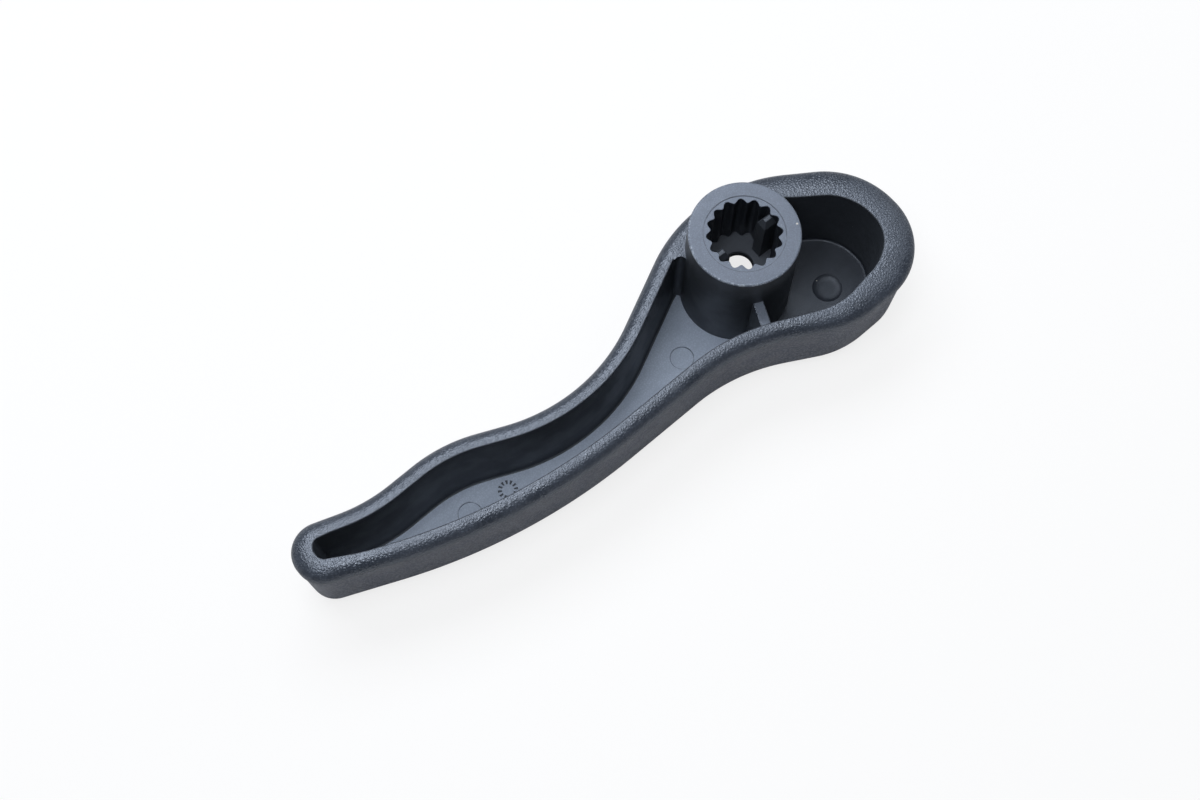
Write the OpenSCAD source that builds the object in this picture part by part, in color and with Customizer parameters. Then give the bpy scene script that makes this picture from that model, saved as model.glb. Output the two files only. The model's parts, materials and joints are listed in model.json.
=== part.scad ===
// Seat recline lever: one hollow moulding with a splined hub socket
// The socket mouth is the origin, Z points out of it, X points along the arm to the tip.

/* [Outline] */
// Distance from the hub axis to the end of the tip
arm_reach = 121.8; // [112:0.1:140]
// Distance from the hub axis to the back of the head
head_reach = 36; // [34:0.1:42]
// Height of the head's upper edge above the hub axis
head_rise = 29.9; // [27:0.1:34]
// Upper corner of the tip, below the hub axis
tip_upper = 2.6; // [1:0.1:3]
// Lower corner of the tip, below the hub axis
tip_lower = 17.1; // [16:0.1:19]
// Back of the grip on the upper edge, along the arm
back_x = 77.4; // [70:0.1:85]
// Back of the grip on the upper edge, above the hub axis
back_y = 16.9; // [15.5:0.1:18]
// Waist of the upper edge where the arm meets the head, along the arm
waist_x = 15.2; // [12:0.1:20]
// Waist of the upper edge, above the hub axis
waist_y = 17.2; // [17:0.1:20]
// Shoulder of the head on the upper edge, behind the hub axis
shoulder_x = 7.6; // [5:0.1:10]
// Finger dent on the lower edge, along the arm
dent_x = 49.4; // [46:0.1:54]
// Finger dent on the lower edge, above the hub axis
dent_y = 4.4; // [2:0.1:5]
// Belly of the grip on the lower edge, along the arm
belly_x = 80.7; // [76:0.1:86]
// Belly of the grip on the lower edge, below the hub axis
belly_y = 9.8; // [9:0.1:13]
// Second hollow of the lower edge, along the arm
hollow_x = 101.4; // [97:0.1:105]
// Slope of the lower edge behind the hub
rear_slope = 34.5; // [30:0.1:40]
// Slope of the lower edge in front of the hub
front_slope = 25.5; // [22:0.1:29]

/* [Outline radii] */
// Both corners of the tip
tip_round = 6.6; // [6.4:0.1:7]
// Back of the grip
back_round = 147; // [90:1:170]
// Waist
waist_round = 46; // [20:1:60]
// Shoulder of the head
shoulder_round = 24; // [20:1:40]
// Upper corner of the head
head_round = 18.4; // [12:0.1:19]
// Lower corner of the head
heel_round = 22.6; // [12:0.1:24]
// Sweep past the hub
sweep_round = 38; // [30:1:42]
// Finger dent
dent_round = 42; // [25:1:45]
// Belly of the grip
belly_round = 37; // [25:1:45]
// Second hollow
hollow_round = 37; // [25:1:60]

/* [Section] */
// Height of the hub face above the rim
hub_stand = 8.8; // [5:0.1:12]
// Depth of the pocket below the rim
pocket_depth = 22.5; // [16:0.1:26]
// Thickness of the pocket floor
floor_skin = 2.5; // [1.8:0.1:4]
// Width of the rim along the arm
arm_rim = 4; // [3.2:0.1:4.6]
// Width of the rim around the head
head_rim = 7.5; // [5:0.1:8.6]
// Width of the rim at the tip
tip_rim = 5.2; // [3.2:0.1:5.6]
// Height of the rounded rim above the parting line
rim_round = 3; // [1.5:0.1:4.5]
// Flat left on top of the rim along its inner edge
rim_flat = 0.9; // [0.5:0.1:1.6]
// Step at the parting line along the arm
parting_step = 0.25; // [0.1:0.05:0.5]
// Step at the parting line at the back of the head
head_step = 1.55; // [0.25:0.05:2]
// Lean of the lower wall, over its height
wall_lean = 0.5; // [0.2:0.1:1]
// Lean of the pocket wall, over its height
pocket_lean = 0.5; // [0.2:0.1:0.8]
// Fillet between the pocket wall and its floor
floor_fillet = 0.8; // [0.4:0.1:0.9]
// Radius around the front face
front_round = 5.4; // [3:0.1:6]

/* [Hub] */
// Diameter of the hub at its face
hub_d = 25.5; // [23:0.1:27]
// Growth of the hub radius from its face to the floor
hub_draft = 0.3; // [0.1:0.05:0.6]
// Wall between the hub and the lever's lower edge
hub_wall = 2.1; // [1.5:0.1:4]
// Rounding of the hub face's edge
hub_edge = 0.4; // [0.2:0.05:0.8]
// Fillet between the hub and the lower wall, on the arm's side
hub_fillet = 1.5; // [0.8:0.1:2.5]
// Diameter of the shallow sunk ring around the socket
witness_d = 18.6; // [17.8:0.1:20]
// Depth of the shallow sunk ring
witness_depth = 0.15; // [0.1:0.05:0.3]

/* [Socket] */
// Number of splines
spline_count = 16; // [12:2:20]
// Diameter over the tops of the splines
spline_minor_d = 15.2; // [14.4:0.1:15.8]
// Diameter in the grooves between the splines
spline_major_d = 17.2; // [16.4:0.1:17.6]
// Turn of the splines and keys against the arm
socket_turn = -2.5; // [-11:0.5:11]
// Depth of the socket
socket_depth = 17.5; // [10:0.1:22]
// Width of the two long keys
key_w = 2.7; // [1.5:0.1:3.5]
// Distance between the two keys
key_gap = 10.2; // [8.8:0.1:12]
// Distance from the hub face down to the keys
key_drop = 1.2; // [0.5:0.1:5]
// Width of the ridge on top of each key
key_ridge = 0.9; // [0.4:0.1:1.4]
// Distance from the ridge's inner end to the key's inner face
key_lead = 0.8; // [0.3:0.1:1.5]
// Height of the slopes that lead up to the ridge
key_point = 2; // [0.5:0.1:4]
// Thickness of the web under the socket
web = 2; // [1.2:0.1:4]
// Diameter of the screw hole in the web
screw_d = 6.8; // [4:0.1:7.5]
// Diameter of the screw head recess in the front
recess_d = 20.4; // [12:0.1:21]

/* [Floor details] */
// Thickness of the rib between the hub and the upper wall
rib_w = 2.6; // [1.5:0.1:4]
// Direction of the rib, from the arm
rib_angle = 65; // [55:1:80]
// Distance from the rim down to the top of the rib
rib_drop = 1.5; // [0.5:0.1:6]
// Diameter of the round pin marks on the arm's floor
pin_d = 5.6; // [3:0.1:5.8]
// Depth of the pin marks
pin_depth = 0.25; // [0.1:0.05:0.5]
// Pin mark near the hub, along the arm
inner_pin_x = 21.3; // [19:0.1:24]
// Pin mark near the hub, above the hub axis
inner_pin_y = 5; // [3:0.1:7]
// Pin mark near the tip, along the arm
outer_pin_x = 83.4; // [80:0.1:86]
// Pin mark near the tip, above the hub axis
outer_pin_y = 1.6; // [0.8:0.1:2.4]
// Dished mark on the head's floor, behind the hub axis
dish_x = 17; // [15:0.1:20]
// Dished mark on the head's floor, above the hub axis
dish_y = 14.5; // [11:0.1:17]
// Diameter of the dished mark
dish_d = 7.2; // [4:0.1:9]
// Depth of the dished mark
dish_depth = 0.5; // [0.2:0.05:0.9]

/* [Hidden] */
plastic = [0.17, 0.18, 0.2];

// Heights below the hub face
rim_z = -hub_stand;
parting_z = rim_z - rim_round;
floor_z = rim_z - pocket_depth;
front_z = floor_z - floor_skin;

// Facets: degrees between points on an arc, and steps along each rounded edge
arc_step = 6;
least_steps = 3;
edge_steps = 5;
fillet_steps = 3;
corner_steps = 12;
round_fn = 96;
spline_steps = 12;
overlap = 1;
floor_bite = 0.2;

hub_r = hub_d / 2;
hub_base_r = hub_r + hub_draft;
sharp_edge = 0.3;
groove_share = 0.12;
corner_fit = 0.97;
wall_middle = 0.5;

// The lower edge's two slopes meet below the hub, where their sweep leaves the hub wall
sweep_turn = rear_slope + front_slope;
sweep_gap = sweep_round * (1 / cos(sweep_turn / 2) - 1);
sweep_y = -(hub_r + hub_wall) - sweep_gap;
sweep_x = dent_x - (dent_y - sweep_y) / tan(front_slope);
heel_y = sweep_y + (head_reach + sweep_x) * tan(rear_slope);

// Centre of the sweep's arc
sweep_axis = 90 + (front_slope - rear_slope) / 2;
sweep_centre = [sweep_x, sweep_y] + sweep_round / cos(sweep_turn / 2) * [cos(sweep_axis), sin(sweep_axis)];

// Corners of the outline, counter-clockwise from the tip, as along, above, radius
corners = [
    [arm_reach, -tip_upper, tip_round],
    [back_x, back_y, back_round],
    [waist_x, waist_y, waist_round],
    [-shoulder_x, head_rise, shoulder_round],
    [-head_reach, head_rise, head_round],
    [-head_reach, heel_y, heel_round],
    [sweep_x, sweep_y, sweep_round],
    [dent_x, dent_y, dent_round],
    [belly_x, -belly_y, belly_round],
    [hollow_x, -belly_y, hollow_round],
    [arm_reach, -tip_lower, tip_round]
];
corner_count = len(corners);

function wrap(i) = (i + corner_count) % corner_count;
function spot(i) = [corners[wrap(i)].x, corners[wrap(i)].y];
function heading(i) = let (step = spot(i + 1) - spot(i)) atan2(step.y, step.x);
function turn(i) = let (t = heading(i) - heading(i - 1)) t > 180 ? t - 360 : t < -180 ? t + 360 : t;
function tangent(i) = corners[wrap(i)][2] * tan(abs(turn(i)) / 2);

// Share of the asked radii that fits between corner i and the next, with a short straight left
function room(i) = min(1, corner_fit * norm(spot(i + 1) - spot(i)) / (tangent(i) + tangent(i + 1)));

// One rounded corner as points with the direction of their outward normals
function rounded(i) = let (
    share = min(room(i - 1), room(i)),
    side = sign(turn(i)),
    r = side * share * corners[i][2],
    into = heading(i - 1),
    start = spot(i) - share * tangent(i) * [cos(into), sin(into)],
    centre = start + r * [-sin(into), cos(into)],
    steps = max(least_steps, ceil(abs(turn(i)) / arc_step))
) [
    for (k = [0 : steps])
        let (a = into - 90 + turn(i) * k / steps)
            [centre.x + r * cos(a), centre.y + r * sin(a), a]
];
outline = [for (i = [0 : corner_count - 1]) each rounded(i)];
count = len(outline);

// Width of the rim, blended along the lever
function ease(t) = let (s = max(0, min(1, t))) s * s * (3 - 2 * s);
head_blend = [shoulder_x, shoulder_x - head_reach];
back_blend = [-head_reach / 2, -head_reach];
tip_blend = [arm_reach - 2 * tip_round, arm_reach];
function share_of(x, span) = ease((x - span[0]) / (span[1] - span[0]));
function rim_width(x) = arm_rim
    + (head_rim - arm_rim) * share_of(x, head_blend)
    + (tip_rim - arm_rim) * share_of(x, tip_blend);

// Growth of the parting step, blended towards the back of the head
function step_growth(x) = (head_step - parting_step) * share_of(x, back_blend);

// The outline moved inwards by a fixed distance and by shares of the rim's width and the step's growth
function inset(p, distance, rim_share = 0, step_share = 0) =
    let (d = distance + rim_share * rim_width(p.x) + step_share * step_growth(p.x))
        [p.x - d * cos(p.z), p.y - d * sin(p.z)];
function ring(section) = [
    for (p = outline)
        let (q = inset(p, section[0], section[1], section[2])) [q.x, q.y, section[3]]
];

// Section of the wall from the front face up to the rim and down to the floor,
// as distance in from the outline, share of the rim's width, share of the step's growth, height
lean_in = parting_step + wall_lean;
crown = min(front_round, tip_round - lean_in - parting_step);
front_edge = [
    for (k = [0 : edge_steps])
        let (a = 90 * k / edge_steps)
            [lean_in + crown * (1 - sin(a)), 0, 1, front_z + crown * (1 - cos(a))]
];
floor_round = min(floor_fillet, tip_round - tip_rim - pocket_lean - sharp_edge);
rim_edge = [
    for (k = [0 : edge_steps])
        let (a = 90 * k / edge_steps)
            [-rim_flat * (1 - cos(a)), 1 - cos(a), 0, parting_z + rim_round * sin(a)]
];
floor_edge = [
    for (k = [0 : fillet_steps])
        let (a = 90 * k / fillet_steps)
            [pocket_lean + floor_round * (1 - cos(a)), 1, 0, floor_z + floor_round * (1 - sin(a))]
];
sections = concat(
    front_edge,
    [[parting_step, 0, 1, parting_z - parting_step]],
    rim_edge,
    [[-sharp_edge, 1, 0, rim_z], [0, 1, 0, rim_z - sharp_edge]],
    floor_edge
);
rows = len(sections);

// Bands of triangles between neighbouring rings
bands = [
    for (row = [0 : rows - 2], i = [0 : count - 1])
        let (j = (i + 1) % count, a = row * count, b = a + count)
            each [[a + i, b + i, b + j], [a + i, b + j, a + j]]
];

// Triangles that close a ring, zipped between its upper and lower edges from tip to head
function gap(i, j) = norm([outline[i].x - outline[j].x, outline[i].y - outline[j].y]);
function zipped(i, j) =
    j - i < 2 ? []
    : j - i == 2 || gap(i + 1, j) <= gap(i, j - 1)
        ? concat([[i, i + 1, j]], zipped(i + 1, j))
        : concat([[i, j - 1, j]], zipped(i, j - 1));
cap = zipped(0, count - 1);
floor_cap = [for (t = cap) let (a = (rows - 1) * count) [a + t[2], a + t[1], a + t[0]]];

module shell() {
    polyhedron(
        points = [for (s = sections) each ring(s)],
        faces = concat(cap, bands, floor_cap)
    );
}

// Tapered boss that carries the socket, standing on the floor
module hub() {
    edge = [
        for (k = [0 : edge_steps])
            let (a = 90 * k / edge_steps)
                [hub_r - hub_edge * (1 - cos(a)), hub_edge * (sin(a) - 1)]
    ];
    rotate_extrude($fn = round_fn)
        polygon(concat([[0, floor_z - floor_bite], [hub_base_r, floor_z - floor_bite]], edge, [[0, 0]]));
}

// Fillet that closes the narrow gap between the hub and the lower wall on the arm's side
module hub_corner() {
    wall_r = sweep_round - arm_rim - pocket_lean / 2;
    hub_reach = hub_r + hub_fillet;
    wall_reach = wall_r - hub_fillet;
    apart = norm(sweep_centre);
    along = (pow(hub_reach, 2) - pow(wall_reach, 2) + pow(apart, 2)) / (2 * apart);
    across = sqrt(pow(hub_reach, 2) - pow(along, 2));
    axis = sweep_centre / apart;
    centre = along * axis + across * [axis.y, -axis.x];
    outward = (centre - sweep_centre) / wall_reach;
    from_angle = atan2(-centre.y, -centre.x);
    to_angle = atan2(outward.y, outward.x) + 360;
    fillet = [
        for (k = [0 : corner_steps])
            let (a = from_angle + (to_angle - from_angle) * k / corner_steps)
                centre + hub_fillet * [cos(a), sin(a)]
    ];
    in_hub = centre * (hub_r - overlap) / hub_reach;
    in_wall = sweep_centre + outward * (wall_r + overlap);
    below_hub = [0, -hub_r];
    translate([0, 0, floor_z - floor_bite])
        linear_extrude(rim_z - floor_z + floor_bite)
            polygon(concat([in_hub], fillet, [in_wall, below_hub]));
}

// Rib that ties the hub to the upper wall
module rib() {
    middle = [for (p = outline) inset(p, 0, wall_middle)];
    height = rim_z - rib_drop - floor_z + floor_bite;
    translate([0, 0, floor_z - floor_bite])
        linear_extrude(height)
            intersection() {
                polygon(middle);
                rotate(rib_angle)
                    translate([hub_r - overlap, -rib_w / 2])
                        square([head_rise, rib_w]);
            }
}

// Wave of the splines, a spline at angle zero, with the grooves a little wider than the tips
function spline_r(a) = let (
    c = cos(spline_count * a),
    wave = c - groove_share * (1 - c * c)
) (spline_major_d + spline_minor_d) / 4 - (spline_major_d - spline_minor_d) / 4 * wave;

// One long key on the socket's wall, sloped at its sides and inner end up to a narrow ridge
module key() {
    slope_z = -key_drop - key_point;
    side = [
        [key_gap / 2, -socket_depth - overlap],
        [hub_r, -socket_depth - overlap],
        [hub_r, -key_drop],
        [key_gap / 2 + key_lead, -key_drop],
        [key_gap / 2, slope_z]
    ];
    end = [
        [-key_w / 2, -socket_depth - overlap],
        [key_w / 2, -socket_depth - overlap],
        [key_w / 2, slope_z],
        [key_ridge / 2, -key_drop],
        [-key_ridge / 2, -key_drop],
        [-key_w / 2, slope_z]
    ];
    intersection() {
        translate([0, key_w, 0])
            rotate([90, 0, 0])
                linear_extrude(2 * key_w)
                    polygon(side);
        rotate([90, 0, 90])
            linear_extrude(hub_r + overlap)
                polygon(end);
    }
}

module socket() {
    points = spline_count * spline_steps;
    profile = [
        for (k = [0 : points - 1])
            let (a = 360 * k / points) spline_r(a) * [cos(a), sin(a)]
    ];
    rotate(socket_turn)
        difference() {
            translate([0, 0, -socket_depth])
                linear_extrude(socket_depth + overlap)
                    polygon(profile);
            for (side = [0, 180])
                rotate(side)
                    key();
        }
    translate([0, 0, -witness_depth])
        cylinder(d = witness_d, h = witness_depth + overlap, $fn = round_fn);
}

module screw_passage() {
    web_z = -socket_depth - web;
    translate([0, 0, web_z - overlap])
        cylinder(d = screw_d, h = web + 2 * overlap, $fn = round_fn);
    translate([0, 0, front_z - overlap])
        cylinder(d = recess_d, h = web_z - front_z + overlap, $fn = round_fn);
}

module floor_marks() {
    for (p = [[inner_pin_x, inner_pin_y], [outer_pin_x, outer_pin_y]])
        translate([p.x, p.y, floor_z - pin_depth])
            cylinder(d = pin_d, h = pin_depth + overlap, $fn = round_fn);
    dish_r = (pow(dish_d / 2, 2) + pow(dish_depth, 2)) / (2 * dish_depth);
    translate([-dish_x, dish_y, floor_z - dish_depth])
        intersection() {
            translate([0, 0, dish_r])
                sphere(r = dish_r, $fn = round_fn);
            cylinder(d = dish_d, h = dish_depth + overlap, $fn = round_fn);
        }
}

module lever() {
    color(plastic)
        difference() {
            union() {
                shell();
                hub();
                hub_corner();
                rib();
            }
            socket();
            screw_passage();
            floor_marks();
        }
}

lever();
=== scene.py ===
import json
import math

import bmesh
import bpy
from mathutils import Matrix, Vector


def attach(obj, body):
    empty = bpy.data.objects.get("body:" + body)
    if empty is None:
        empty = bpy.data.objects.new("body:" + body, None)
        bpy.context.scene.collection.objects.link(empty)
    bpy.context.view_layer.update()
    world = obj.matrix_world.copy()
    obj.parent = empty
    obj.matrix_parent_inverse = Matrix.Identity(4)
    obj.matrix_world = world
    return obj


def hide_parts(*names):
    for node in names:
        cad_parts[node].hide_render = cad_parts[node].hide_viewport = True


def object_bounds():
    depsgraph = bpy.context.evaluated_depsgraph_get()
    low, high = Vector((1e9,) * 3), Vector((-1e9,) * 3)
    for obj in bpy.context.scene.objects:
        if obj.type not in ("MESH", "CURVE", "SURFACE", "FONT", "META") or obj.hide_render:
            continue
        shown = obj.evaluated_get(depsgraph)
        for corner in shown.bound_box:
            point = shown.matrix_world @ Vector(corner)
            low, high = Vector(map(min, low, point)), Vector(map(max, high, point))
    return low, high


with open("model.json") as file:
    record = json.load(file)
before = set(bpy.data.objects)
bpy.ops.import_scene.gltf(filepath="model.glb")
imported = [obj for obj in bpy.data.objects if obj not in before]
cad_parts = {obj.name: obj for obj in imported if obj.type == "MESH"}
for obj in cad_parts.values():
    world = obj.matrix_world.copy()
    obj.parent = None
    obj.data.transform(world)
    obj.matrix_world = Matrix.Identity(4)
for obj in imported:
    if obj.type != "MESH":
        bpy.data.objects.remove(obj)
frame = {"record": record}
cadLow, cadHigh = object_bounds()
mounts = {m["name"]: m for m in frame["record"]["mounts"]}
mm = 0.001  # meshes are made in mm and scaled down at the end
print("frame loaded, box in mm", [round(v / mm, 1) for v in (*cadLow, *cadHigh)])


# node helpers

def addNode(tree, kind, **settings):
    node = tree.nodes.new(kind)
    for key, value in settings.items():
        setattr(node, key, value)
    return node


def feed(tree, socket, value):  # a socket takes a link or a plain value
    if isinstance(value, bpy.types.NodeSocket):
        tree.links.new(value, socket)
    else:
        socket.default_value = value


def calc(tree, operation, *values, kind="ShaderNodeMath", output="Value"):
    node = addNode(tree, kind, operation=operation)
    for socket, value in zip(node.inputs, values):
        feed(tree, socket, value)
    return node.outputs[output]


def vectorCalc(tree, operation, *values, output="Vector"):
    return calc(tree, operation, *values, kind="ShaderNodeVectorMath", output=output)


def scaled(tree, vector, factor):
    node = addNode(tree, "ShaderNodeVectorMath", operation="SCALE")
    feed(tree, node.inputs[0], vector)
    feed(tree, node.inputs["Scale"], factor)
    return node.outputs["Vector"]


def product(tree, first, *others):
    for other in others:
        first = calc(tree, "MULTIPLY", first, other)
    return first


def remap(tree, value, low, high, toLow=0.0, toHigh=1.0):
    node = addNode(tree, "ShaderNodeMapRange", interpolation_type="SMOOTHSTEP")
    parts = {"Value": value, "From Min": low, "From Max": high, "To Min": toLow, "To Max": toHigh}
    for label, part in parts.items():
        feed(tree, node.inputs[label], part)
    return node.outputs["Result"]


def newGroup(name, inputs, outputs):
    tree = bpy.data.node_groups.new(name, "ShaderNodeTree")
    for label, value in inputs.items():
        socket = tree.interface.new_socket(label, in_out="INPUT", socket_type="NodeSocketFloat")
        socket.default_value = value
    for label in outputs:
        tree.interface.new_socket(label, in_out="OUTPUT", socket_type="NodeSocketFloat")
    return tree, tree.nodes.new("NodeGroupInput"), tree.nodes.new("NodeGroupOutput")


def placeMm(tree):  # place on the part in mm
    coords = tree.nodes.new("ShaderNodeTexCoord")
    return scaled(tree, coords.outputs["Object"], 1 / mm)


def flattened(tree, place):  # seen along the hub's axis
    return vectorCalc(tree, "MULTIPLY", place, (1, 1, 0))


def noise(tree, place, size, detail=2.0, rough=0.5, output="Fac"):
    node = tree.nodes.new("ShaderNodeTexNoise")
    feed(tree, node.inputs["Vector"], place)
    feed(tree, node.inputs["Scale"], calc(tree, "DIVIDE", 1.0, size))
    node.inputs["Detail"].default_value = detail
    node.inputs["Roughness"].default_value = rough
    return node.outputs[output]


def cells(tree, place, size, feature):
    node = addNode(tree, "ShaderNodeTexVoronoi", feature=feature)
    feed(tree, node.inputs["Vector"], place)
    feed(tree, node.inputs["Scale"], calc(tree, "DIVIDE", 1.0, size))
    return node


# leather-like moulded grain: rounded cells parted by fine creases, warped so that they run together
grainForm = {  # sizes are shares of a cell's size
    "driftSize": 1.6, "driftReach": 4.0, "smoothness": 0.35, "domeReach": 0.75,
    "fineSize": 0.45, "fineDetail": 3.0, "fineRough": 0.6,
    "topShare": 0.45, "domeShare": 0.7, "fineShare": 0.4,
}


def makeLeatherGrain():
    sizes = {"Cell Size": 0.8, "Crease": 0.2, "Warp": 0.4}
    tree, given, result = newGroup("leatherGrain", sizes, ["Height", "Tops"])
    cell, crease, warp = (given.outputs[label] for label in sizes)
    place = placeMm(tree)
    drift = noise(tree, place, calc(tree, "MULTIPLY", cell, grainForm["driftSize"]), output="Color")
    centred = vectorCalc(tree, "SUBTRACT", drift, (0.5, 0.5, 0.5))
    reach = product(tree, warp, cell, grainForm["driftReach"])
    moved = vectorCalc(tree, "ADD", place, scaled(tree, centred, reach))
    edges = cells(tree, moved, cell, "DISTANCE_TO_EDGE")
    tops = remap(tree, edges.outputs["Distance"], 0.0, crease)
    middles = cells(tree, moved, cell, "SMOOTH_F1")
    middles.inputs["Smoothness"].default_value = grainForm["smoothness"]
    dome = remap(tree, middles.outputs["Distance"], 0.0, grainForm["domeReach"], 1.0, 0.0)
    fineSize = calc(tree, "MULTIPLY", cell, grainForm["fineSize"])
    fine = noise(tree, place, fineSize, grainForm["fineDetail"], grainForm["fineRough"])
    lift = calc(tree, "MULTIPLY", calc(tree, "SUBTRACT", fine, 0.5), grainForm["fineShare"])
    height = calc(tree, "MULTIPLY", dome, grainForm["domeShare"])
    height = calc(tree, "MULTIPLY_ADD", tops, grainForm["topShare"], height)
    tree.links.new(calc(tree, "ADD", height, lift), result.inputs["Height"])
    tree.links.new(tops, result.inputs["Tops"])
    return tree


# faint streaks and clouds left by the plastic as it filled the mould
flowForm = {
    "streakDetail": 4.0, "streakRough": 0.6, "cloudSize": 7.0, "cloudDetail": 3.0, "contrast": (0.3, 0.7),
}


def makeFlowMarks():
    tree, given, result = newGroup("flowMarks", {"Length": 14.0, "Width": 1.2}, ["Streaks", "Clouds"])
    place = placeMm(tree)
    sizes = tree.nodes.new("ShaderNodeCombineXYZ")
    for axis, label in (("X", "Length"), ("Y", "Width"), ("Z", "Width")):
        tree.links.new(given.outputs[label], sizes.inputs[axis])
    stretched = vectorCalc(tree, "DIVIDE", place, sizes.outputs["Vector"])
    streaks = noise(tree, stretched, 1.0, flowForm["streakDetail"], flowForm["streakRough"])
    clouds = noise(tree, place, flowForm["cloudSize"], flowForm["cloudDetail"])
    tree.links.new(remap(tree, streaks, *flowForm["contrast"]), result.inputs["Streaks"])
    tree.links.new(remap(tree, clouds, *flowForm["contrast"]), result.inputs["Clouds"])
    return tree


# specks of dust at their places on the part, and fine lint all over
dust = {
    "specks": [  # place and radius in mm
        ((86.2, 9.1, -9.4), 0.34), ((-28.3, 16.2, -20.6), 0.24),
        ((-28.0, 17.1, -22.0), 0.14), ((-27.7, 17.8, -23.9), 0.12),
        ((-10.4, 5.9, 0.0), 0.3), ((5.6, 23.2, -12.0), 0.35),
        ((4.9, 23.6, -12.1), 0.25), ((-16.5, 11.5, -31.5), 0.22),
    ],
    "speckCore": 0.55,  # share of the radius before the speck fades
    "lintSpacing": 9.0, "lintSize": 0.012, "lintCore": 0.6,
}


def makeDust():
    tree, given, result = newGroup("dust", {"Lint": 1.0}, ["Mask"])
    place = placeMm(tree)
    lint = cells(tree, place, dust["lintSpacing"], "F1").outputs["Distance"]
    fleck = remap(tree, lint, dust["lintSize"] * dust["lintCore"], dust["lintSize"], 1.0, 0.0)
    mask = calc(tree, "MULTIPLY", fleck, given.outputs["Lint"])
    for spot, radius in dust["specks"]:
        away = vectorCalc(tree, "DISTANCE", place, spot, output="Value")
        speck = remap(tree, away, radius * dust["speckCore"], radius, 1.0, 0.0)
        mask = calc(tree, "MAXIMUM", mask, speck)
    tree.links.new(mask, result.inputs["Mask"])
    return tree


# round marks where the mould's pins and sleeves met the part, as centre and radius in mm
mouldMarks = {
    "pins": [((21.3, 5.0), 2.8), ((83.4, 1.6), 2.8)],
    "socketRing": ((0.0, 0.0), 9.3),
    "dish": ((-17.0, 14.5), 3.6),
}
# thin dark lines around those marks: painted shade at the edges of the sunk marks, broken up by noise
insertLines = {"width": 0.16, "core": 0.4, "wearSize": 1.6, "wear": (0.3, 0.6), "wornTo": 0.35}


def makeEdgeShadeLines():
    tree, given, result = newGroup("insertLines", {"Strength": 1.0}, ["Mask"])
    place = placeMm(tree)
    flat = flattened(tree, place)
    width = insertLines["width"]
    mask = 0.0
    # painted shade lines at the edges of the sunk marks
    for centre, radius in (*mouldMarks["pins"], mouldMarks["socketRing"], mouldMarks["dish"]):
        away = vectorCalc(tree, "DISTANCE", flat, (*centre, 0), output="Value")
        gap = calc(tree, "ABSOLUTE", calc(tree, "SUBTRACT", away, radius))
        mask = calc(tree, "MAXIMUM", mask, remap(tree, gap, width * insertLines["core"], width, 1.0, 0.0))
    wear = noise(tree, place, insertLines["wearSize"])
    kept = remap(tree, wear, *insertLines["wear"], insertLines["wornTo"], 1.0)
    tree.links.new(product(tree, mask, kept, given.outputs["Strength"]), result.inputs["Mask"])
    return tree


# pale scuffs along the hub's edge mixed with a painted highlight on its rounded edge, strongest on the arm's
# side where the light falls, and a few scuffs on its face
scuffs = {
    "edge": (12.05, 12.6), "depth": 0.7, "side": (-9.0, 10.0), "sideLeast": 0.25,
    "size": 0.5, "detail": 3.0, "rough": 0.6, "patches": (0.48, 0.64),
    "faceSize": 0.9, "faceDetail": 4.0, "faceRough": 0.7, "facePatches": (0.62, 0.74), "faceShare": 0.45,
}


def makeScuffsAndHighlight():
    tree, given, result = newGroup("scuffs", {"Strength": 1.0}, ["Mask"])
    place = placeMm(tree)
    split = tree.nodes.new("ShaderNodeSeparateXYZ")
    tree.links.new(place, split.inputs["Vector"])
    away = vectorCalc(tree, "LENGTH", flattened(tree, place), output="Value")
    edgeNoise = noise(tree, place, scuffs["size"], scuffs["detail"], scuffs["rough"])
    # the band along the edge is a painted highlight mixed with scuffs
    edge = product(
        tree,
        remap(tree, away, *scuffs["edge"]),
        remap(tree, split.outputs["Z"], -scuffs["depth"], -scuffs["depth"] / 2),
        remap(tree, split.outputs["X"], *scuffs["side"], scuffs["sideLeast"], 1.0),
        remap(tree, edgeNoise, *scuffs["patches"]),
    )
    rubbed = noise(tree, place, scuffs["faceSize"], scuffs["faceDetail"], scuffs["faceRough"])
    face = calc(tree, "MULTIPLY", remap(tree, rubbed, *scuffs["facePatches"]), scuffs["faceShare"])
    mask = calc(tree, "MULTIPLY", calc(tree, "MAXIMUM", edge, face), given.outputs["Strength"])
    tree.links.new(mask, result.inputs["Mask"])
    return tree


leatherGrain = makeLeatherGrain()
flowMarks = makeFlowMarks()
dustMarks = makeDust()
edgeShadeMarks = makeEdgeShadeLines()
scuffAndHighlightMarks = makeScuffsAndHighlight()
# the insert lines are painted shade lines, and the scuffs carry a painted highlight on the hub's edge
print("grain, flow marks, dust, insert lines and scuffs ready")
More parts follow.
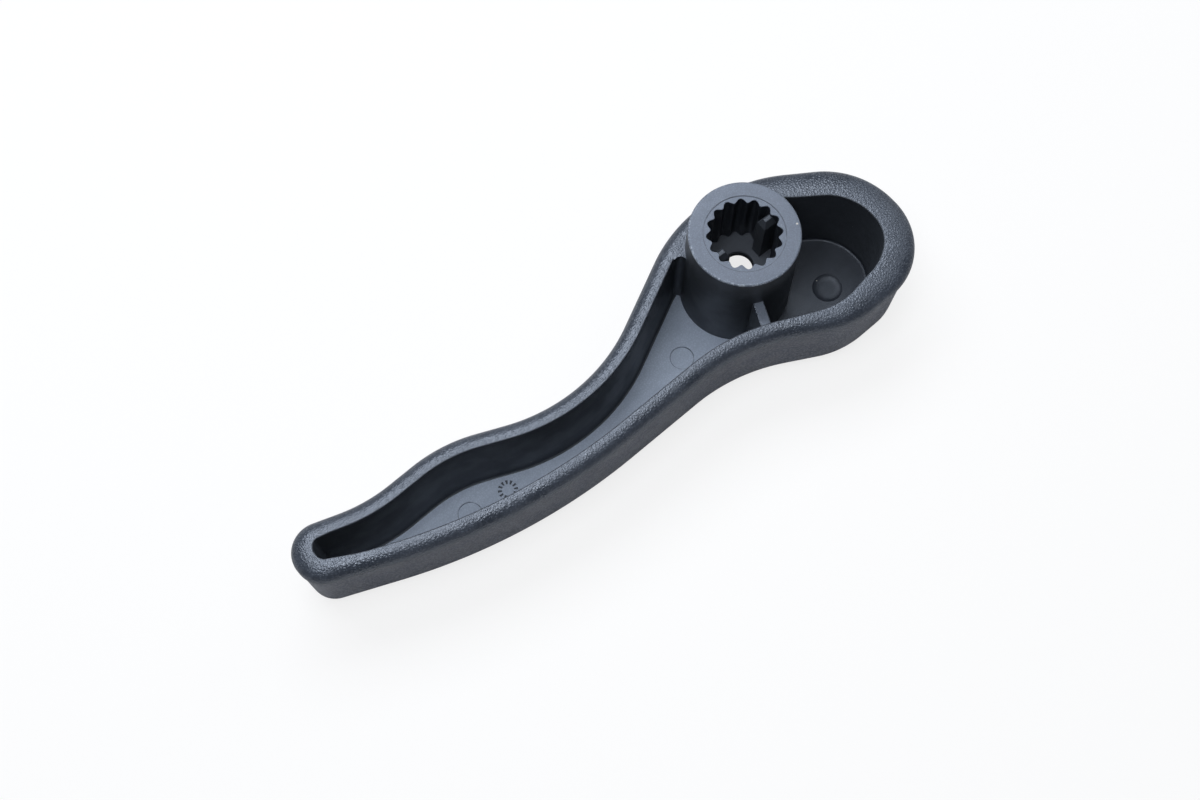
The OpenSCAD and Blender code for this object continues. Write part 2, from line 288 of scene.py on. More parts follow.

# finishes of the one plastic, in the order of the material slots; depths and cells in mm; the lower wall's,
# the floors' and the hub face's finishes are lighter and darker copies of it, with painted light and shade in
# their colours
plainFinish = {"cell": 0.5, "crease": 0.3, "warp": 0.3, "grainShade": 0.0, "lines": 0.0, "scuffs": 0.0}
finishes = {
    "grainedSkin": {
        "dark": (0.033, 0.040, 0.054), "light": (0.060, 0.072, 0.095), "rough": (0.27, 0.37), "gloss": 0.95,
        "flow": (9.0, 2.0), "cell": 0.62, "warp": 0.22, "grainDepth": 0.06, "fineDepth": 0.008, "lint": 0.6,
    },
    # lighter copy of the plastic: painted light from below on the lower wall, whose finish the front face
    # shares
    "lowerWall": {
        "dark": (0.105, 0.114, 0.142), "light": (0.258, 0.279, 0.344), "rough": (0.44, 0.56), "gloss": 0.5,
        "flow": (4.0, 2.0), "cell": 0.7, "crease": 0.5, "warp": 0.25, "grainDepth": 0.09, "fineDepth": 0.012,
        "grainShade": 0.8, "lint": 0.3,
    },
    "pocketWall": {
        "dark": (0.033, 0.038, 0.046), "light": (0.053, 0.060, 0.073), "rough": (0.48, 0.6), "gloss": 0.6,
        "flow": (10.0, 2.2), "grainDepth": 0.004, "fineDepth": 0.01, "lint": 0.8,
    },
    # lighter copy of the plastic: painted light on the arm's floor and its pin marks
    "satinFloor": {
        "dark": (0.266, 0.315, 0.397), "light": (0.396, 0.459, 0.556), "rough": (0.36, 0.48), "gloss": 0.7,
        "flow": (5.0, 1.4), "grainDepth": 0.004, "fineDepth": 0.014, "grainShade": 0.4,
        "lint": 0.5, "lines": 0.7,
    },
    # darker copy of the plastic: painted shade on the head's floor where the hub shadows it, in the dish and
    # on the socket's splines
    "polishedFloor": {
        "dark": (0.015, 0.018, 0.024), "light": (0.026, 0.031, 0.041), "rough": (0.38, 0.5), "gloss": 0.5,
        "flow": (8.0, 3.0), "grainDepth": 0.002, "fineDepth": 0.006, "lint": 0.6, "lines": 0.5,
    },
    # lighter copy of the plastic: painted light on the hub's face, the rib's top and the socket's mouth
    "hubFace": {
        "dark": (0.104, 0.121, 0.155), "light": (0.155, 0.181, 0.229), "rough": (0.34, 0.44), "gloss": 0.6,
        "flow": (5.0, 3.0), "cell": 0.4, "grainDepth": 0.003, "fineDepth": 0.009, "grainShade": 0.5,
        "lint": 0.4, "lines": 0.6, "scuffs": 0.8,
    },
}
finishIndex = {name: i for i, name in enumerate(finishes)}
# shares in the colour, then sizes in mm; creaseShade is painted shade in the grain's creases
finishMix = {"streaks": 0.6, "clouds": 0.4, "creaseShade": 0.5, "fineSize": 0.12, "speckHeight": 0.05}
dustColour = (0.62, 0.60, 0.55, 1.0)
# dark colour of the painted shade lines at the sunk marks' edges
edgeShadeColour = (0.022, 0.026, 0.032, 1.0)
# pale colour of the scuffs and of the painted highlight on the hub's edge
scuffAndHighlightColour = (0.42, 0.47, 0.54, 1.0)
sheenColour = (0.82, 0.89, 1.0, 1.0)  # the plastic's sheen is slightly blue
plasticIor = 1.58


def groupNode(tree, group, values):
    node = addNode(tree, "ShaderNodeGroup", node_tree=group)
    for label, value in values.items():
        node.inputs[label].default_value = value
    return node.outputs


def mixColour(tree, factor, first, second):
    node = addNode(tree, "ShaderNodeMix", data_type="RGBA")
    feed(tree, node.inputs["Factor"], factor)
    colours = [socket for socket in node.inputs if socket.type == "RGBA"]
    feed(tree, colours[0], first)
    feed(tree, colours[1], second)
    return next(socket for socket in node.outputs if socket.type == "RGBA")


def makeFinish(name, spec):
    material = bpy.data.materials.new(name)
    material.use_nodes = True
    tree = material.node_tree
    shader = tree.nodes["Principled BSDF"]
    shader.inputs["Specular IOR Level"].default_value = spec["gloss"]
    shader.inputs["Specular Tint"].default_value = sheenColour
    shader.inputs["IOR"].default_value = plasticIor
    grainSizes = {"Cell Size": spec["cell"], "Crease": spec["crease"], "Warp": spec["warp"]}
    grain = groupNode(tree, leatherGrain, grainSizes)
    flow = groupNode(tree, flowMarks, {"Length": spec["flow"][0], "Width": spec["flow"][1]})
    specks = groupNode(tree, dustMarks, {"Lint": spec["lint"]})["Mask"]
    # colour: streaks and clouds, creases darker than tops as painted shade, then the marks on it
    blend = calc(tree, "MULTIPLY", flow["Clouds"], finishMix["clouds"])
    blend = calc(tree, "MULTIPLY_ADD", flow["Streaks"], finishMix["streaks"], blend)
    shade = calc(tree, "MULTIPLY_ADD", grain["Tops"], finishMix["creaseShade"], 1 - finishMix["creaseShade"])
    blend = calc(tree, "MULTIPLY", blend, shade)
    # grainShade paints the grain's bumps lighter and its creases darker: painted light and shade
    rise = calc(tree, "SUBTRACT", grain["Height"], blend)
    blend = calc(tree, "MULTIPLY_ADD", rise, spec["grainShade"], blend)
    colour = mixColour(tree, blend, (*spec["dark"], 1.0), (*spec["light"], 1.0))
    layers = ((edgeShadeMarks, spec["lines"], edgeShadeColour), (scuffAndHighlightMarks, spec["scuffs"], scuffAndHighlightColour))
    for group, strength, tint in layers:
        if strength:
            mask = groupNode(tree, group, {"Strength": strength})["Mask"]
            colour = mixColour(tree, mask, colour, tint)
    tree.links.new(mixColour(tree, specks, colour, dustColour), shader.inputs["Base Color"])
    rough = remap(tree, flow["Clouds"], 0.0, 1.0, *spec["rough"])
    tree.links.new(calc(tree, "MAXIMUM", rough, specks), shader.inputs["Roughness"])
    # heights in mm
    fine = noise(tree, placeMm(tree), finishMix["fineSize"])
    height = calc(tree, "MULTIPLY", grain["Height"], spec["grainDepth"])
    height = calc(tree, "MULTIPLY_ADD", fine, spec["fineDepth"], height)
    height = calc(tree, "MULTIPLY_ADD", specks, finishMix["speckHeight"], height)
    bump = tree.nodes.new("ShaderNodeBump")
    bump.inputs["Distance"].default_value = mm
    tree.links.new(height, bump.inputs["Height"])
    tree.links.new(bump.outputs["Normal"], shader.inputs["Normal"])


for name, spec in finishes.items():
    makeFinish(name, {**plainFinish, **spec})
print("finishes ready:", ", ".join(finishes))


# mesh helpers

largeRound, smallRound = 160, 96  # points round a turned form
overlap = 1.0  # joined pieces reach this far into each other
slack = 0.01  # for comparing places


def newPiece(name, verts, faces, finishOf):
    mesh = bpy.data.meshes.new(name)
    mesh.from_pydata(verts, [], faces)
    for finish in finishes:
        mesh.materials.append(bpy.data.materials[finish])
    for polygon, finish in zip(mesh.polygons, finishOf):
        polygon.material_index = finishIndex[finish]
    piece = bpy.data.objects.new(name, mesh)
    bpy.context.scene.collection.objects.link(piece)
    return piece


def ringsOf(rowCount, pointCount):
    return [range(row * pointCount, (row + 1) * pointCount) for row in range(rowCount)]


def ringBand(below, above):  # faces between two rings, where a ring may be one point over and over
    count = len(below)
    faces = []
    for k in range(count):
        n = (k + 1) % count
        faces.append(tuple(dict.fromkeys((below[k], below[n], above[n], above[k]))))
    return faces


def lathe(name, profile, finishOf, centre=(0.0, 0.0), segments=largeRound):
    # profile runs from the axis, out and up, back to the axis, as radius and height
    verts, rings = [], []
    for radius, z in profile:
        if radius == 0:
            rings.append([len(verts)] * segments)
            verts.append((*centre, z))
            continue
        rings.append(range(len(verts), len(verts) + segments))
        for k in range(segments):
            a = 2 * math.pi * k / segments
            verts.append((centre[0] + radius * math.cos(a), centre[1] + radius * math.sin(a), z))
    faces, marks = [], []
    for below, above, finish in zip(rings, rings[1:], finishOf):
        faces += ringBand(below, above)
        marks += [finish] * segments
    return newPiece(name, verts, faces, marks)


def stack(name, loops, finishOf):  # loops of as many points, one above the other, closed by fans
    count = len(loops[0])
    verts = [p for loop in loops for p in loop]
    rings = ringsOf(len(loops), count)
    faces, marks = [], []
    for below, above, finish in zip(rings, rings[1:], finishOf[1:-1]):
        faces += ringBand(below, above)
        marks += [finish] * count
    for end in (0, -1):
        ring, middle = rings[end], len(verts)
        verts.append(tuple(sum(p[i] for p in loops[end]) / count for i in range(3)))
        for k in range(count):
            a, b = ring[k], ring[(k + 1) % count]
            faces.append((b, a, middle) if end == 0 else (a, b, middle))
            marks.append(finishOf[end])
    return newPiece(name, verts, faces, marks)


def roundEdges(mesh, edges, size, steps):
    bmesh.ops.bevel(mesh, geom=edges, offset=size, segments=steps, affect="EDGES", profile=0.5)


def combine(piece, other, operation):
    modifier = piece.modifiers.new("combine", "BOOLEAN")
    modifier.operation = operation
    modifier.solver = "MANIFOLD"
    modifier.object = other
    graph = bpy.context.evaluated_depsgraph_get()
    mesh = bpy.data.meshes.new_from_object(piece.evaluated_get(graph))
    piece.modifiers.clear()
    old = piece.data
    piece.data = mesh
    bpy.data.meshes.remove(old)
    bpy.data.meshes.remove(other.data)


# shell of the lever, sizes in mm; its reach, its head and the front's height come from the frame
shell = {
    "tipUpper": 2.6, "tipLower": 17.1, "tipRound": 6.6,
    "back": (77.4, 16.9, 147.0), "waist": (15.2, 17.2, 46.0), "shoulder": (-7.6, 24.0),
    "headRound": 18.4, "heelRound": 22.6, "rearSlope": 34.5, "frontSlope": 25.5, "sweepRound": 38.0,
    "dent": (49.4, 4.4, 42.0), "belly": (80.7, -9.8, 37.0), "hollow": (101.4, 37.0),
    "hubStand": 8.8, "pocketDepth": 22.5,
    "armRim": 4.0, "headRim": 7.5, "tipRim": 5.2, "rimRound": 3.0, "rimFlat": 0.9, "innerEdge": 0.28,
    "partingStep": 0.25, "headStep": 1.55, "wallLean": 0.5, "pocketLean": 0.5,
    "floorFillet": 0.6, "frontRound": 5.4, "support": 0.25,
    "cornerFit": 0.97, "pointGap": 0.7, "pointTurn": 2.5, "leastSteps": 3,
    "headFloor": 8.0,  # the head's floor, up to here, takes a darker copy: painted shade where the hub shadows it
}
sectionSteps = {"front": 10, "wall": 5, "rim": 18, "innerEdge": 4, "pocketWall": 6, "floorFillet": 5}
hub = {
    "radius": 12.75, "draft": 0.3, "wall": 2.085, "edge": 0.4, "baseFillet": 0.1, "roundSteps": 6,
    "cornerFillet": 1.5, "cornerSteps": 24, "floorBite": 0.1, "faceSupport": 1.0, "segments": 192,
    "ringDepth": 0.15, "ringTaper": 0.06, "ringCut": 1.0,
}
armReach, headReach, headRise = cadHigh.x / mm, -cadLow.x / mm, cadHigh.y / mm
frontZ = cadLow.z / mm
rimZ = -shell["hubStand"]
partingZ = rimZ - shell["rimRound"]
floorZ = rimZ - shell["pocketDepth"]
joinZ = floorZ - hub["floorBite"]  # hub, corner and rib start here
ringR = mouldMarks["socketRing"][1]

sweepTurn = math.radians(shell["rearSlope"] + shell["frontSlope"])
sweepGap = shell["sweepRound"] * (1 / math.cos(sweepTurn / 2) - 1)
sweepY = -(hub["radius"] + hub["wall"]) - sweepGap
sweepX = shell["dent"][0] - (shell["dent"][1] - sweepY) / math.tan(math.radians(shell["frontSlope"]))
heelY = sweepY + (headReach + sweepX) * math.tan(math.radians(shell["rearSlope"]))
leverCorners = [  # counter-clockwise from the tip, as along, above, radius
    (armReach, -shell["tipUpper"], shell["tipRound"]),
    shell["back"],
    shell["waist"],
    (shell["shoulder"][0], headRise, shell["shoulder"][1]),
    (-headReach, headRise, shell["headRound"]),
    (-headReach, heelY, shell["heelRound"]),
    (sweepX, sweepY, shell["sweepRound"]),
    shell["dent"],
    shell["belly"],
    (shell["hollow"][0], shell["belly"][1], shell["hollow"][1]),
    (armReach, -shell["tipLower"], shell["tipRound"]),
]


def roundedOutline(corners):  # points as along, above and the way out
    spots = [Vector(c[:2]) for c in corners]
    count = len(spots)
    headings = []
    for i in range(count):
        step = spots[(i + 1) % count] - spots[i]
        headings.append(math.atan2(step.y, step.x))
    turns = [(headings[i] - headings[i - 1] + math.pi) % (2 * math.pi) - math.pi for i in range(count)]
    tangents = [corners[i][2] * math.tan(abs(turns[i]) / 2) for i in range(count)]
    room = []  # share of the asked radii that fits between a corner and the next
    for i in range(count):
        n = (i + 1) % count
        room.append(min(1.0, shell["cornerFit"] * (spots[n] - spots[i]).length / (tangents[i] + tangents[n])))
    arcs = []
    for i in range(count):
        into, turn = headings[i - 1], turns[i]
        share = min(room[i - 1], room[i])
        radius = math.copysign(share * corners[i][2], turn)
        start = spots[i] - share * tangents[i] * Vector((math.cos(into), math.sin(into)))
        centre = start + radius * Vector((-math.sin(into), math.cos(into)))
        bend = max(abs(turn * radius) / shell["pointGap"], math.degrees(abs(turn)) / shell["pointTurn"])
        steps = max(shell["leastSteps"], math.ceil(bend))
        arc = []
        for k in range(steps + 1):
            a = into - math.pi / 2 + turn * k / steps
            arc.append((centre.x + radius * math.cos(a), centre.y + radius * math.sin(a), a))
        arcs.append(arc)
    points = []
    for i in range(count):  # straight stretches get points as well
        points += arcs[i]
        a, b = Vector(arcs[i][-1][:2]), Vector(arcs[(i + 1) % count][0][:2])
        steps = max(1, math.ceil((b - a).length / (2 * shell["pointGap"])))
        for k in range(1, steps):
            p = a.lerp(b, k / steps)
            points.append((p.x, p.y, headings[i] - math.pi / 2))
    return points


outline = roundedOutline(leverCorners)


def ease(x, start, end):
    t = min(1.0, max(0.0, (x - start) / (end - start)))
    return t * t * (3 - 2 * t)


def rimWidth(x):
    headShare = ease(x, -shell["shoulder"][0], -shell["shoulder"][0] - headReach)
    tipShare = ease(x, armReach - 2 * shell["tipRound"], armReach)
    return (shell["armRim"] + (shell["headRim"] - shell["armRim"]) * headShare
            + (shell["tipRim"] - shell["armRim"]) * tipShare)


def stepGrowth(x):
    return (shell["headStep"] - shell["partingStep"]) * ease(x, -headReach / 2, -headReach)


def quarter(steps):
    return [math.pi / 2 * k / steps for k in range(steps + 1)]


# rows of the section from the front face up to the rim and down to the floor:
# distance in, share of the rim's width, share of the step's growth, height, finish of the band above
leanIn = shell["partingStep"] + shell["wallLean"]
rows = [(leanIn + shell["frontRound"] + shell["support"], 0, 1, frontZ, "lowerWall")]
for a in quarter(sectionSteps["front"]):
    rows.append((leanIn + shell["frontRound"] * (1 - math.sin(a)), 0, 1,
                 frontZ + shell["frontRound"] * (1 - math.cos(a)), "lowerWall"))
wallFoot, wallHead = frontZ + shell["frontRound"], partingZ - shell["partingStep"]
# the band up to the parting line takes the pocket wall's darker finish: a painted shadow line under the rim's
# step
for k in range(1, sectionSteps["wall"] + 1):
    t = k / sectionSteps["wall"]
    rows.append((leanIn - shell["wallLean"] * t, 0, 1, wallFoot + (wallHead - wallFoot) * t,
                 "lowerWall" if t < 1 else "pocketWall"))
for a in quarter(sectionSteps["rim"]):
    rows.append((-shell["rimFlat"] * (1 - math.cos(a)), 1 - math.cos(a), 0,
                 partingZ + shell["rimRound"] * math.sin(a), "grainedSkin"))
for a in quarter(sectionSteps["innerEdge"]):
    rows.append((-shell["innerEdge"] * (1 - math.sin(a)), 1, 0,
                 rimZ - shell["innerEdge"] * (1 - math.cos(a)), "pocketWall"))
innerHead, innerFoot = rimZ - shell["innerEdge"], floorZ + shell["floorFillet"]
for k in range(1, sectionSteps["pocketWall"]):
    t = k / sectionSteps["pocketWall"]
    rows.append((shell["pocketLean"] * t, 1, 0, innerHead + (innerFoot - innerHead) * t, "pocketWall"))
floorRow = len(rows)
for a in quarter(sectionSteps["floorFillet"]):
    rows.append((shell["pocketLean"] + shell["floorFillet"] * (1 - math.cos(a)), 1, 0,
                 floorZ + shell["floorFillet"] * (1 - math.sin(a)),
                 "pocketWall" if a < math.pi / 2 else "satinFloor"))
rows.append((shell["pocketLean"] + shell["floorFillet"] + shell["support"], 1, 0, floorZ, "satinFloor"))


def zipped(points):  # triangles across the lever, from the tip to the head
    i, j = 0, len(points) - 1
    triangles = []
    while j - i >= 2:
        upper = math.dist(points[i + 1][:2], points[j][:2])
        lower = math.dist(points[i][:2], points[j - 1][:2])
        if upper <= lower:
            triangles.append((i, i + 1, j))
            i += 1
        else:
            triangles.append((i, j - 1, j))
            j -= 1
    return triangles


def makeShell():
    verts, faces, marks = [], [], []
    for distance, rimShare, stepShare, z, finish in rows:
        for x, y, a in outline:
            d = distance + rimShare * rimWidth(x) + stepShare * stepGrowth(x)
            verts.append((x - d * math.cos(a), y - d * math.sin(a), z))
    rings = ringsOf(len(rows), len(outline))
    for row in range(len(rows) - 1):
        faces += ringBand(rings[row], rings[row + 1])
        for x, y, a in outline:
            # the head's floor and its fillet take the painted shade finish
            inHubShade = row >= floorRow and x < shell["headFloor"]
            marks.append("polishedFloor" if inHubShade else rows[row][-1])
    for corners in zipped(outline):
        i, j, k = corners
        faces += [(i, k, j), tuple(rings[-1][n] for n in corners)]
        # floor triangles on the head's side take the painted shade finish
        inHubShade = sum(outline[n][0] for n in corners) / 3 < shell["headFloor"]
        marks += ["lowerWall", "polishedFloor" if inHubShade else "satinFloor"]
    return newPiece("lever_skin", verts, faces, marks)


skin = makeShell()
print("shell made:", len(outline), "points round,", len(rows), "rows")


# hub with a small fillet at its foot
def makeHub():
    foot = hub["radius"] + hub["draft"]
    profile = [(0, joinZ), (foot + hub["baseFillet"], joinZ)]
    for a in quarter(hub["roundSteps"])[1:]:
        profile.append((foot + hub["baseFillet"] * (1 - math.sin(a)),
                        floorZ + hub["baseFillet"] * (1 - math.cos(a))))
    sideBands = len(profile)
    for a in quarter(hub["roundSteps"]):
        profile.append((hub["radius"] - hub["edge"] * (1 - math.cos(a)), -hub["edge"] * (1 - math.sin(a))))
    profile += [(ringR + hub["faceSupport"], 0.0), (0, 0.0)]
    marks = ["pocketWall"] * sideBands + ["hubFace"] * (len(profile) - 1 - sideBands)
    return lathe("hub", profile, marks, segments=hub["segments"])


combine(skin, makeHub(), "UNION")


# fillet that closes the narrow end of the pocket between the hub and the lower wall
def makeHubCorner():
    axis = math.pi / 2 + math.radians(shell["frontSlope"] - shell["rearSlope"]) / 2
    sweepReach = shell["sweepRound"] / math.cos(sweepTurn / 2)
    sweepCentre = Vector((sweepX, sweepY)) + sweepReach * Vector((math.cos(axis), math.sin(axis)))
    wallR = shell["sweepRound"] - shell["armRim"] - shell["pocketLean"] / 2
    hubReach, wallReach = hub["radius"] + hub["cornerFillet"], wallR - hub["cornerFillet"]
    apart = sweepCentre.length
    along = (hubReach ** 2 - wallReach ** 2 + apart ** 2) / (2 * apart)
    across = math.sqrt(hubReach ** 2 - along ** 2)
    line = sweepCentre / apart
    centre = along * line + across * Vector((line.y, -line.x))
    outward = (centre - sweepCentre) / wallReach
    start, end = math.atan2(-centre.y, -centre.x), math.atan2(outward.y, outward.x) + 2 * math.pi
    loop = [centre * (hub["radius"] - overlap) / hubReach]
    for k in range(hub["cornerSteps"] + 1):
        a = start + (end - start) * k / hub["cornerSteps"]
        loop.append(centre + hub["cornerFillet"] * Vector((math.cos(a), math.sin(a))))
    loop += [sweepCentre + outward * (wallR + overlap), Vector((0, -hub["radius"]))]
    loops = [[(p.x, p.y, z) for p in reversed(loop)] for z in (joinZ, rimZ)]
    return stack("hub_corner", loops, ["pocketWall", "pocketWall", "grainedSkin"])


combine(skin, makeHubCorner(), "UNION")

# rib between the hub and the upper wall
rib = {"width": 2.6, "draft": 0.2, "angle": 65.0, "drop": 1.5, "edge": 0.3, "edgeSteps": 3}


def makeRib():
    turn = math.radians(rib["angle"])
    along = Vector((math.cos(turn), math.sin(turn)))
    across = Vector((-math.sin(turn), math.cos(turn)))
    reach = 0.0
    for x, y, a in outline:
        spot = Vector((x, y))
        if abs(spot.dot(across)) < rib["width"]:
            reach = max(reach, spot.dot(along))
    reach -= shell["armRim"] / 2  # ends inside the wall
    start, top = hub["radius"] - overlap, rimZ - rib["drop"]
    loops = []
    for z, half in ((joinZ, rib["width"] / 2 + rib["draft"]), (top, rib["width"] / 2)):
        ends = [(start, -half), (reach, -half), (reach, half), (start, half)]
        loops.append([(*(u * along + v * across), z) for u, v in ends])
    piece = stack("rib", loops, ["pocketWall", "pocketWall", "hubFace"])
    mesh = bmesh.new()
    mesh.from_mesh(piece.data)
    longEdges = []  # those along the top
    for edge in mesh.edges:
        a, b = (v.co for v in edge.verts)
        run = (b - a).length
        straight = abs((b - a).to_2d().dot(across)) < slack * run
        if min(a.z, b.z) > top - slack and run > reach / 3 and straight:
            longEdges.append(edge)
    roundEdges(mesh, longEdges, rib["edge"], rib["edgeSteps"])
    mesh.to_mesh(piece.data)
    mesh.free()
    return piece


combine(skin, makeRib(), "UNION")
print("hub, corner fillet and rib joined on")

# splined socket with a small lead at its mouth, and two long keys
spline = {
    "count": 16, "minor": 7.6, "major": 8.6, "turn": -2.5, "depth": 17.5, "grooveShare": 0.12,
    "pointsEach": 26, "lead": 0.1, "cutAbove": 2.0,
}
keys = {
    "width": 2.7, "ridge": 0.9, "gap": 10.2, "drop": 1.2, "lead": 0.8, "point": 2.0,
    "edge": 0.12, "edgeSteps": 2, "bite": 1.5, "foot": 0.8, "flatAngle": 0.01,
}
socketTurn = math.radians(spline["turn"])


def splineRadius(a):  # a wave with its grooves a little wider than its tips
    c = math.cos(spline["count"] * a)
    wave = c - spline["grooveShare"] * (1 - c * c)
    return (spline["major"] + spline["minor"]) / 2 - (spline["major"] - spline["minor"]) / 2 * wave


def makeSocketCut():
    points = spline["count"] * spline["pointsEach"]
    lead, mouth = spline["lead"], -hub["ringDepth"]
    loops = []
    for z, grow in ((-spline["depth"], 0.0), (mouth - lead, 0.0), (mouth, lead), (spline["cutAbove"], lead)):
        loop = []
        for k in range(points):
            a = 2 * math.pi * k / points
            r = splineRadius(a) + grow
            loop.append((r * math.cos(a + socketTurn), r * math.sin(a + socketTurn), z))
        loops.append(loop)
    # the spline walls take the painted shade finish: painted shade inside the socket
    return stack("socket_cut", loops, ["pocketWall", "polishedFloor", "hubFace", "hubFace", "hubFace"])


def makeKey(side):  # sides and inner end slope up to a narrow ridge
    near, far = keys["gap"] / 2, spline["major"] + keys["bite"]
    low, top = -spline["depth"] - keys["foot"], -keys["drop"]
    shoulder = top - keys["point"]
    mesh = bmesh.new()
    for sign in (-1, 1):
        wide, narrow = sign * keys["width"] / 2, sign * keys["ridge"] / 2
        for spot in ((near, wide, low), (far, wide, low), (near, wide, shoulder), (far, wide, shoulder),
                     (near + keys["lead"], narrow, top), (far, narrow, top)):
            mesh.verts.new(spot)
    bmesh.ops.convex_hull(mesh, input=mesh.verts)
    bmesh.ops.dissolve_limit(mesh, angle_limit=keys["flatAngle"], verts=mesh.verts, edges=mesh.edges)
    freeEdges = []  # those not buried in the hub
    for edge in mesh.edges:
        if min(v.co.x for v in edge.verts) < far - slack and max(v.co.z for v in edge.verts) > low + slack:
            freeEdges.append(edge)
    roundEdges(mesh, freeEdges, keys["edge"], keys["edgeSteps"])
    bmesh.ops.recalc_face_normals(mesh, faces=mesh.faces)
    mesh.transform(Matrix.Rotation(socketTurn + side, 4, "Z"))
    mesh.verts.index_update()
    verts = [tuple(v.co) for v in mesh.verts]
    faces = [[v.index for v in face.verts] for face in mesh.faces]
    mesh.free()
    return newPiece("key", verts, faces, ["pocketWall"] * len(faces))


ringCut = [(0, -hub["ringDepth"]), (ringR - hub["ringTaper"], -hub["ringDepth"]),
           (ringR, hub["ringCut"]), (0, hub["ringCut"])]
combine(skin, lathe("ring_cut", ringCut, ["hubFace"] * 3), "DIFFERENCE")
combine(skin, makeSocketCut(), "DIFFERENCE")
for side in (0.0, math.pi):
    combine(skin, makeKey(side), "UNION")
print("socket cut, keys in")

# screw hole through the web and the head's recess in the front
passage = {"edge": 0.2, "recessEdge": 0.5, "cutAbove": 0.5, "cutBelow": 1.0}
holeR = mounts["screw_hole"]["dims"]["r_mm"]
recessMount = mounts["screw_head_recess"]
recessR = recessMount["dims"]["r_mm"]
recessZ = recessMount["pos_m"][2] / mm + recessMount["dims"]["length_mm"] / 2
webZ = -spline["depth"]
holeLow, holeHigh = recessZ - passage["cutBelow"], webZ + passage["cutAbove"]
hole = [
    (0, holeLow), (holeR, holeLow), (holeR, webZ - passage["edge"]),
    (holeR + passage["edge"] + passage["cutAbove"], holeHigh), (0, holeHigh),
]
combine(skin, lathe("hole_cut", hole, ["pocketWall"] * 4, segments=smallRound), "DIFFERENCE")
recessLow = frontZ - passage["cutBelow"]
recess = [
    (0, recessLow), (recessR + passage["recessEdge"] + passage["cutBelow"], recessLow),
    (recessR, frontZ + passage["recessEdge"]), (recessR, recessZ), (0, recessZ),
]
combine(skin, lathe("recess_cut", recess, ["pocketWall"] * 4), "DIFFERENCE")

# marks on the floor: two pin marks, a dished one and a ring of ticks
floorMarks = {
    "pinDepth": 0.25, "pinTaper": 0.06, "cutAbove": 0.5,
    "dishDepth": 0.6, "dishSteep": 5.0, "dishRings": 18, "dishOver": 1.02,
    "clock": (73.2, 2.9), "clockR": 1.85, "ticks": 12,
    "tickLength": 0.95, "tickWidth": 0.6, "tickTaper": 0.6, "tickDepth": 0.4,
}
cutTop = floorZ + floorMarks["cutAbove"]
pinZ = floorZ - floorMarks["pinDepth"]
for spot, radius in mouldMarks["pins"]:
    profile = [(0, pinZ), (radius - floorMarks["pinTaper"], pinZ), (radius, cutTop), (0, cutTop)]
    combine(skin, lathe("pin_cut", profile, ["satinFloor"] * 3, spot, smallRound), "DIFFERENCE")


def makeDish():
    spot, radius = mouldMarks["dish"]
    profile = [(0, floorZ - floorMarks["dishDepth"])]
    for a in quarter(floorMarks["dishRings"])[1:]:
        share = floorMarks["dishOver"] * math.sin(a)  # closer rings towards the border
        fall = 1 - share ** floorMarks["dishSteep"]
        profile.append((radius * share, floorZ - floorMarks["dishDepth"] * fall))
    profile.append((0, profile[-1][1]))
    # the dish takes the painted shade finish: painted shade in its hollow
    return lathe("dish_cut", profile, ["polishedFloor"] * (len(profile) - 1), spot, smallRound)


combine(skin, makeDish(), "DIFFERENCE")


def makeTick(number):
    turn = Matrix.Rotation(2 * math.pi * number / floorMarks["ticks"], 3, "Z")
    half, reach = floorMarks["tickWidth"] / 2, floorMarks["tickLength"] / 2
    inner = half * floorMarks["tickTaper"]
    ends = [(-reach, -inner), (reach, -half), (reach, half), (-reach, inner)]
    loops = []
    for z in (floorZ - floorMarks["tickDepth"], cutTop):
        loop = [turn @ Vector((floorMarks["clockR"] + u, v, 0)) for u, v in ends]
        loops.append([(floorMarks["clock"][0] + p.x, floorMarks["clock"][1] + p.y, z) for p in loop])
    return stack("tick_cut", loops, ["pocketWall"] * 3)


for number in range(floorMarks["ticks"]):
    combine(skin, makeTick(number), "DIFFERENCE")
print("hole, recess and floor marks cut")

shading = {"sharpAngle": 32.0, "weight": 60}


def finishSkin():
    mesh = skin.data
    mesh.transform(Matrix.Scale(mm, 4))
    mesh.shade_smooth()
    mesh.set_sharp_from_angle(angle=math.radians(shading["sharpAngle"]))
    weighted = skin.modifiers.new("even_shading", "WEIGHTED_NORMAL")
    weighted.keep_sharp = True
    weighted.weight = shading["weight"]
    graph = bpy.context.evaluated_depsgraph_get()
    even = bpy.data.meshes.new_from_object(skin.evaluated_get(graph))
    skin.modifiers.clear()
    skin.data = even
    bpy.data.meshes.remove(mesh)


finishSkin()
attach(skin, "root")
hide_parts("lever")
print("lever skin:", sum(len(p.vertices) - 2 for p in skin.data.polygons), "triangles")

# floor that the lever lies on: white to the camera, with a faint shadow kept
stage = {
    "size": 6.0, "glow": 0.8, "colour": (0.66, 0.645, 0.63, 1.0), "seenColour": (0.98, 0.98, 0.98, 1.0),
    "lift": 0.0001, "clearLifts": 8,
    "fill": 0.04, "fillBelow": 0.72, "fillColour": (0.93, 0.96, 1.0, 1.0), "horizon": (-0.05, 0.0),
}


def mixShader(tree, factor, first, second):
    node = tree.nodes.new("ShaderNodeMixShader")
    feed(tree, node.inputs["Fac"], factor)
    tree.links.new(first, node.inputs[1])
    tree.links.new(second, node.inputs[2])
    return node.outputs["Shader"]


